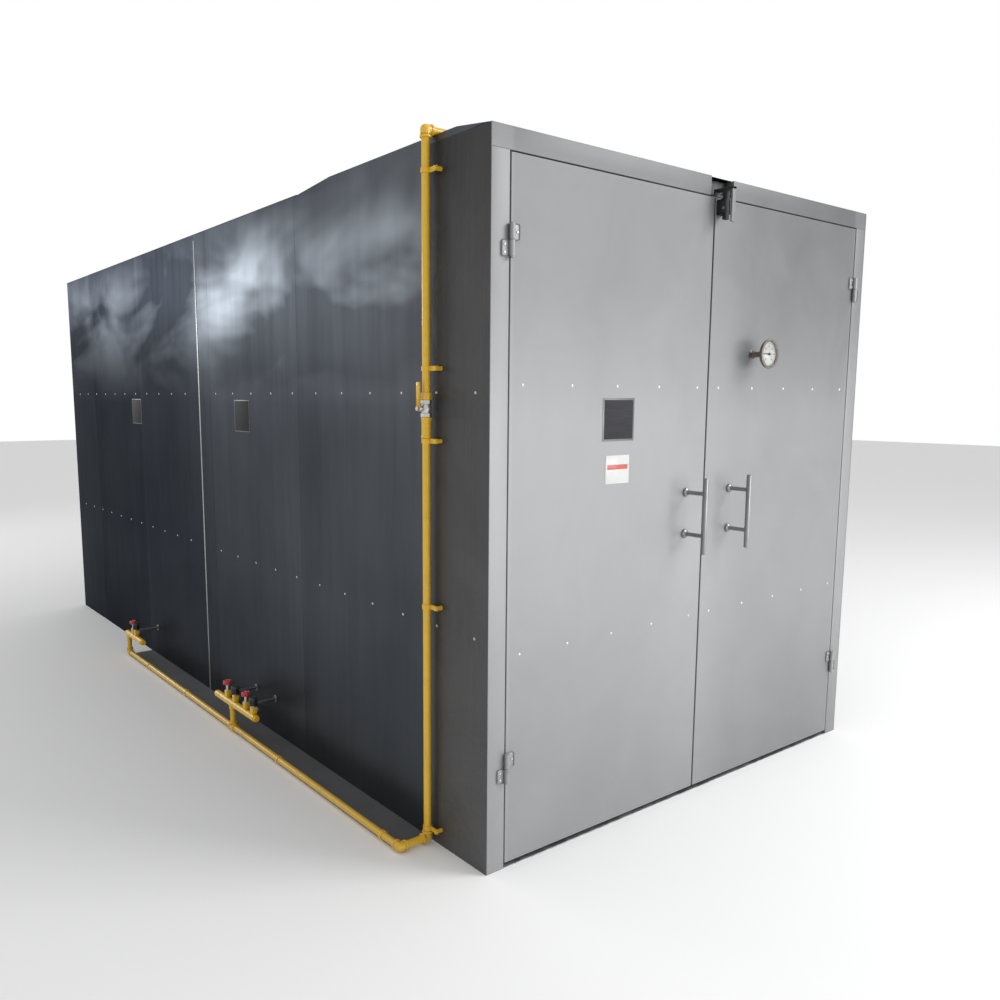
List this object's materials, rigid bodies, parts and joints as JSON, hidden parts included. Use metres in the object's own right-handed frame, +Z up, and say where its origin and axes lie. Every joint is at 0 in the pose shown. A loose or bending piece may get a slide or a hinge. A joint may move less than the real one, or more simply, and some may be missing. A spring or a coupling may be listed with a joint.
{
  "type": "walk-in gas curing oven",
  "caption": "Walk-in insulated gas oven with twin front doors, pull handles, lift-off hinges, a dial thermometer, a top latch and a yellow gas line with burner valves.",
  "frame": {"origin": "on the floor under the middle of the oven body", "axes": "+X to the right across the doors, +Y from the doors to the rear wall, +Z up"},
  "size_m": [2.4285, 4.985, 2.615],
  "materials": {
    "silver_paint": "satin silver-grey paint",
    "collar_paint": "satin grey sheet",
    "dark_sheet": "glossy charcoal sheet",
    "galvanised": "galvanised sheet",
    "mineral_wool": "mineral wool",
    "gas_yellow": "yellow gloss paint",
    "nickel": "nickel plate",
    "red_plastic": "red moulded",
    "black_plastic": "black moulded",
    "handle_steel": "grey satin steel",
    "hinge_paint": "grey paint over steel",
    "seal": "black silicone",
    "bronze_rim": "dark bronze enamel",
    "dial_white": "white printed dial",
    "lens": "clear glass",
    "needle_black": "black",
    "steel": "bare steel",
    "zinc": "zinc plated"
  },
  "bodies": {
    "oven_body": {"floor_plate": "galvanised", "wall_insulation": "mineral_wool", "roof_insulation": "mineral_wool", "inner_sheets": "galvanised", "left_wall_sheets": "dark_sheet", "right_wall_sheets": "dark_sheet", "rear_wall_sheets": "dark_sheet", "roof_sheets": "dark_sheet", "collar_sheets": "collar_paint", "edge_trims": "galvanised", "roof_cap": "dark_sheet", "door_posts": "silver_paint", "lintel": "silver_paint", "latch_pocket": "steel", "door_stop_bars": "steel", "shell_fasteners": "zinc", "hinge_frame_leaves": "hinge_paint", "hinge_pins": "steel", "gas_pipes": "gas_yellow", "gas_fittings": "gas_yellow", "pipe_clips": "gas_yellow", "pipe_tray": "galvanised", "ball_valve_body": "nickel", "burner_manifolds": "gas_yellow", "burner_valves": "nickel", "burner_regulators": "black_plastic", "burner_feed_pipes": "steel", "burner_tubes": "steel", "burner_guard": "galvanised", "fan_motor": "steel", "flue_spigot": "galvanised"},
    "left_door": {"left_door_pan": "silver_paint", "left_door_core": "mineral_wool", "left_door_inner_sheet": "galvanised", "left_door_gasket": "seal", "left_door_fasteners": "zinc", "left_handle": "handle_steel", "left_hinge_door_leaves": "hinge_paint"},
    "right_door": {"right_door_pan": "silver_paint", "right_door_core": "mineral_wool", "right_door_inner_sheet": "galvanised", "right_door_gasket": "seal", "right_door_fasteners": "zinc", "right_handle": "handle_steel", "right_hinge_door_leaves": "hinge_paint", "meeting_gasket": "seal", "thermometer_case": "bronze_rim", "thermometer_dial": "dial_white", "thermometer_lens": "lens", "thermometer_stem": "steel", "latch_bracket": "hinge_paint", "latch_pin": "steel"},
    "latch_hook": {"latch_hook": "silver_paint"},
    "thermometer_needle": {"thermometer_needle": "needle_black"},
    "ball_valve_lever": {"ball_valve_lever": "gas_yellow"},
    "burner_knob_1": {"burner_knob_1": "red_plastic"},
    "burner_knob_2": {"burner_knob_2": "red_plastic"},
    "burner_knob_3": {"burner_knob_3": "red_plastic"},
    "fan_rotor": {"fan_shaft": "steel", "fan_wheel": "galvanised"}
  },
  "joints": [
    {"name": "left_door_swing", "type": "hinge", "parent": "oven_body", "child": "left_door", "pos_m": [-1.0025, -2.4505, 1.2], "axis": [0, 0, -1], "range_deg": [0, 110]},
    {"name": "right_door_swing", "type": "hinge", "parent": "oven_body", "child": "right_door", "pos_m": [1.0025, -2.4505, 1.2], "axis": [0, 0, 1], "range_deg": [0, 110]},
    {"name": "latch_rock", "type": "hinge", "parent": "right_door", "child": "latch_hook", "pos_m": [0.025, -2.47, 2.285], "axis": [-1, 0, 0], "range_deg": [0, 8]},
    {"name": "needle_turn", "type": "hinge", "parent": "right_door", "child": "thermometer_needle", "pos_m": [0.274, -2.52, 1.758], "axis": [0, 1, 0], "range_deg": [-45, 225]},
    {"name": "ball_valve_turn", "type": "hinge", "parent": "oven_body", "child": "ball_valve_lever", "pos_m": [-1.1405, -2.14, 1.548], "axis": [-1, 0, 0], "range_deg": [0, 90]},
    {"name": "burner_knob_1_turn", "type": "hinge", "parent": "oven_body", "child": "burner_knob_1", "pos_m": [-1.227, -0.86, 0.23], "axis": [0, 0, 1], "range_deg": [0, 90]},
    {"name": "burner_knob_2_turn", "type": "hinge", "parent": "oven_body", "child": "burner_knob_2", "pos_m": [-1.227, -0.65, 0.23], "axis": [0, 0, 1], "range_deg": [0, 90]},
    {"name": "burner_knob_3_turn", "type": "hinge", "parent": "oven_body", "child": "burner_knob_3", "pos_m": [-1.227, 0.775, 0.23], "axis": [0, 0, 1], "range_deg": [0, 90]},
    {"name": "fan_spin", "type": "hinge", "parent": "oven_body", "child": "fan_rotor", "pos_m": [0, -0.94, 2.24], "axis": [0, 0, 1], "continuous": true}
  ]
}
